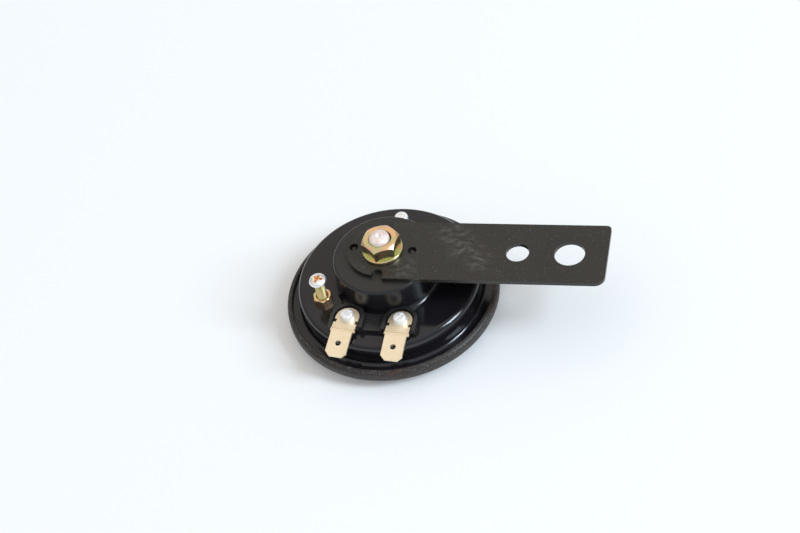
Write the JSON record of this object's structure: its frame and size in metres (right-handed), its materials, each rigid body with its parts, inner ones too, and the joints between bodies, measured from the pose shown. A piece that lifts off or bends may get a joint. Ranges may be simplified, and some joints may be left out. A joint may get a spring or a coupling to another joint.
{
  "type": "car horn",
  "caption": "Electric disc horn with a drawn black body, blade terminals, adjusting screw and a flat steel mounting strap.",
  "frame": {"origin": "horn axis in the plane of the front cover's face", "axes": "+Z out of the back along the mounting stud, +X along the mounting strap"},
  "size_m": [0.0962, 0.0628, 0.0299],
  "materials": {
    "gloss_black_enamel": "deep gloss enamel on drawn steel",
    "satin_black_paint": "satin black paint, rubbed and lightly rusted at the rim",
    "strap_black_finish": "thin satin black finish on flat steel strip, scuffed",
    "yellow_zinc": "yellow passivated zinc plate with an iridescent film",
    "bright_zinc": "bright zinc plate",
    "plain_steel": "turned and stamped mild steel, lightly oiled",
    "spring_steel": "rolled spring steel",
    "terminal_brass": "tinned brass strip, dull",
    "contact_bronze": "phosphor bronze strip",
    "contact_tungsten": "tungsten contact face",
    "black_phenolic": "moulded black phenolic",
    "bobbin_nylon": "moulded nylon",
    "enamelled_copper": "wound enamelled copper wire",
    "insulating_fibre": "pressed insulating fibre",
    "gasket_card": "pressed gasket card",
    "lead_sleeve": "flexible lead sleeve"
  },
  "bodies": {
    "root": {"housing": "gloss_black_enamel", "front_cover": "satin_black_paint", "mounting_strap": "strap_black_finish", "stud_nut": "yellow_zinc", "stud_washer": "yellow_zinc", "lock_nut": "yellow_zinc", "adjusting_screw": "yellow_zinc", "contact_rivet": "bright_zinc", "terminal_rivets": "bright_zinc", "pole_core": "bright_zinc", "armature": "plain_steel", "pole_plate": "plain_steel", "tone_disc_spacer": "plain_steel", "diaphragm": "spring_steel", "tone_disc": "spring_steel", "terminal_left": "terminal_brass", "terminal_right": "terminal_brass", "contact_spring": "contact_bronze", "fixed_plate": "contact_bronze", "fixed_contact": "contact_tungsten", "moving_contact": "contact_tungsten", "terminal_block": "black_phenolic", "coil_bobbin": "bobbin_nylon", "coil_winding": "enamelled_copper", "contact_insulators": "insulating_fibre", "terminal_insulator": "insulating_fibre", "push_stud": "insulating_fibre", "cover_gasket": "gasket_card", "housing_gasket": "gasket_card", "supply_lead": "lead_sleeve", "coil_contact_lead": "lead_sleeve", "breaker_lead": "lead_sleeve"}
  },
  "joints": []
}
